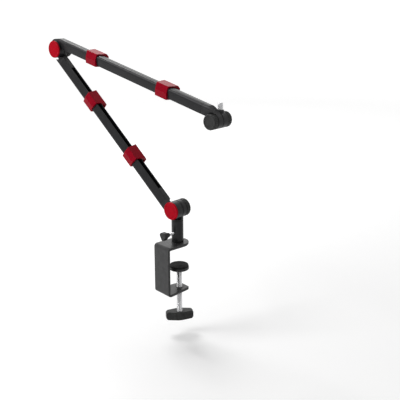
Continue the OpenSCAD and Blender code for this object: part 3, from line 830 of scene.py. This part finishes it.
class BOOM_OT_microphone_fitting(bpy.types.Operator):
    """Barrel at the tip and its threaded stud for a microphone"""

    bl_idname = "boom.microphone_fitting"
    bl_label = "Microphone fitting"

    THREAD_DEPTH = 0.75 * MM
    THREAD_SHARE = 0.9
    TAPER_TURNS = 0.7
    SPIGOT_SHARE = 0.624
    SPIGOT_EDGE = 0.3 * MM

    def execute(self, context):
        sizes = context.scene.boom_sizes
        soften("mic_barrel", sizes.cast_edge)
        low_corner, high_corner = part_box("mic_stud")
        foot = Vector((*((low_corner + high_corner) / 2).xy, 0))
        low, high, major = span("mic_stud", foot, UP)
        shoulder = span("mic_stud", foot, UP, major * self.THREAD_SHARE)[0]
        spigot = major * self.SPIGOT_SHARE
        pitch = sizes.stud_pitch
        rings = rounded([(0, low, 0), (spigot, low, self.SPIGOT_EDGE), (spigot, shoulder, 0)])
        rings += threaded_rings(major, self.THREAD_DEPTH, pitch, shoulder, high, pitch * self.TAPER_TURNS)
        rings += [(0, high)]
        stand_for(turned("mic_stud_cut", rings, Matrix.Translation(foot), steps=48), "mic_stud")
        return {"FINISHED"}


class BOOM_OT_stage(bpy.types.Operator):
    """Plain pale floor, soft lights and the camera"""

    bl_idname = "boom.stage"
    bl_label = "Floor, lights and camera"

    FLOOR_GAP = 2 * MM
    FLOOR_SIZE = 400
    FLOOR_ROUGHNESS = 0.9
    FLOOR_SPECULAR = 0.1

    # The floor glows by itself, more with its distance in metres, so that it meets the white background
    GLOW_NEAR = 0.2
    GLOW_FAR = 0.85
    GLOW_REACH = 4

    # Soft panels: name, direction from the arm, side in metres, which power and the share of it
    LIGHT_REACH = 2.2
    PANELS = (
        ("roof_back", (-0.64, 0.58, 0.51), 1.4, "roof_light", 0.32),
        ("roof_middle", (-0.52, 0.06, 0.82), 0.9, "roof_light", 1.3),
        ("roof_front", (-0.31, -0.70, 0.62), 0.9, "roof_light", 1),
        ("front_panel", (-0.05, -0.93, 0.36), 1.5, "front_light", 1),
    )

    SENSOR_WIDTH = 36
    CLIP_START = 0.01
    CLIP_END = 200

    def execute(self, context):
        look = context.scene.boom_stage
        context.scene.view_settings.view_transform = "Standard"
        self.floor(look)
        self.sky(context.scene, look)
        aim = (cad_box[0] + cad_box[1]) / 2
        for name, direction, side, power, share in self.PANELS:
            place = aim + Vector(direction).normalized() * self.LIGHT_REACH
            self.panel(name, place, aim, side, getattr(look, power) * share)
        self.camera(context.scene, look)
        return {"FINISHED"}

    def floor(self, look):
        bm = bmesh.new()
        bmesh.ops.create_grid(bm, x_segments=1, y_segments=1, size=self.FLOOR_SIZE)
        screw_down = JOINTS["pad_lift"]["range_m"][0]
        bmesh.ops.translate(bm, verts=bm.verts, vec=(0, 0, cad_box[0].z + screw_down - self.FLOOR_GAP))
        floor = piece_from(bm, "floor")
        material = bpy.data.materials.new("pale_floor")
        material.use_nodes = True
        nodes = material.node_tree.nodes
        links = material.node_tree.links
        shader = nodes["Principled BSDF"]
        shader.inputs["Base Color"].default_value = (*look.floor, 1)
        shader.inputs["Roughness"].default_value = self.FLOOR_ROUGHNESS
        shader.inputs["Specular IOR Level"].default_value = self.FLOOR_SPECULAR
        glow = nodes.new("ShaderNodeEmission")
        place = nodes.new("ShaderNodeTexCoord")
        distance = nodes.new("ShaderNodeVectorMath")
        distance.operation = "LENGTH"
        links.new(place.outputs["Object"], distance.inputs[0])
        fade = nodes.new("ShaderNodeMapRange")
        fade.inputs["From Max"].default_value = self.GLOW_REACH
        fade.inputs["To Min"].default_value = self.GLOW_NEAR
        fade.inputs["To Max"].default_value = self.GLOW_FAR
        links.new(distance.outputs["Value"], fade.inputs["Value"])
        strength = nodes.new("ShaderNodeMath")
        strength.operation = "MULTIPLY"
        links.new(fade.outputs["Result"], strength.inputs[0])
        links.new(seen_directly(nodes, links), strength.inputs[1])
        links.new(strength.outputs[0], glow.inputs["Strength"])
        both = nodes.new("ShaderNodeAddShader")
        links.new(shader.outputs[0], both.inputs[0])
        links.new(glow.outputs[0], both.inputs[1])
        links.new(both.outputs[0], nodes["Material Output"].inputs["Surface"])
        floor.data.materials.append(material)

    def sky(self, scene, look):
        world = bpy.data.worlds.new("studio")
        world.use_nodes = True
        nodes = world.node_tree.nodes
        links = world.node_tree.links
        background = nodes["Background"]
        background.inputs["Color"].default_value = (1, 1, 1, 1)
        lift = nodes.new("ShaderNodeMath")
        lift.operation = "MAXIMUM"
        lift.inputs[1].default_value = look.sky
        links.new(seen_directly(nodes, links), lift.inputs[0])
        links.new(lift.outputs[0], background.inputs["Strength"])
        scene.world = world

    def panel(self, name, place, aim, side, power):
        lamp = bpy.data.lights.new(name, "AREA")
        lamp.shape = "SQUARE"
        lamp.size = side
        lamp.energy = power
        panel = bpy.data.objects.new(name, lamp)
        panel.visible_camera = False
        panel.location = place
        panel.rotation_euler = (aim - place).to_track_quat("-Z", "Y").to_euler()
        bpy.context.scene.collection.objects.link(panel)

    def camera(self, scene, look):
        data = bpy.data.cameras.new("camera")
        data.lens = look.lens
        data.sensor_width = self.SENSOR_WIDTH
        data.clip_start = self.CLIP_START
        data.clip_end = self.CLIP_END
        camera = bpy.data.objects.new("camera", data)
        camera.location = look.camera_place
        camera.rotation_euler = (math.pi / 2 - look.camera_dip, 0, look.camera_turn)
        scene.collection.objects.link(camera)
        scene.camera = camera


def seen_directly(nodes, links):
    """1 for camera, glossy and transmission rays, and 0 for the rest"""
    path = nodes.new("ShaderNodeLightPath")
    total = path.outputs["Is Camera Ray"]
    for ray in ("Is Glossy Ray", "Is Transmission Ray"):
        add = nodes.new("ShaderNodeMath")
        add.operation = "MAXIMUM"
        links.new(total, add.inputs[0])
        links.new(path.outputs[ray], add.inputs[1])
        total = add.outputs[0]
    return total


OPERATORS = (
    BOOM_OT_stage,
    BOOM_OT_clamp,
    BOOM_OT_pressure_foot,
    BOOM_OT_clamp_screw,
    BOOM_OT_post,
    BOOM_OT_swivel_lock,
    BOOM_OT_turret,
    BOOM_OT_channels,
    BOOM_OT_fittings,
    BOOM_OT_joint_hardware,
    BOOM_OT_red_caps,
    BOOM_OT_knobs,
    BOOM_OT_cable_clips,
    BOOM_OT_microphone_fitting,
)
GROUPS = {"boom_sizes": BoomSizes, "boom_finish": BoomFinish, "boom_stage": BoomStage}


class BOOM_PT_panel(bpy.types.Panel):
    """Sizes, colours and the steps that make the arm"""

    bl_idname = "BOOM_PT_panel"
    bl_label = "Boom Arm"
    bl_space_type = "VIEW_3D"
    bl_region_type = "UI"
    bl_category = "Boom Arm"

    def draw(self, context):
        for operator in OPERATORS:
            self.layout.operator(operator.bl_idname)
        for group in GROUPS:
            values = getattr(context.scene, group)
            box = self.layout.box()
            for name in values.bl_rna.properties.keys():
                if name not in ("rna_type", "name"):
                    box.prop(values, name)


CLASSES = (*GROUPS.values(), *OPERATORS, BOOM_PT_panel)


def register():
    for cls in CLASSES:
        bpy.utils.register_class(cls)
    for name, group in GROUPS.items():
        setattr(bpy.types.Scene, name, bpy.props.PointerProperty(type=group))


def unregister():
    for name in GROUPS:
        delattr(bpy.types.Scene, name)
    for cls in reversed(CLASSES):
        bpy.utils.unregister_class(cls)


def main():
    register()
    for operator in OPERATORS:
        getattr(bpy.ops.boom, operator.bl_idname.split(".")[1])()


if __name__ == "__main__":
    main()
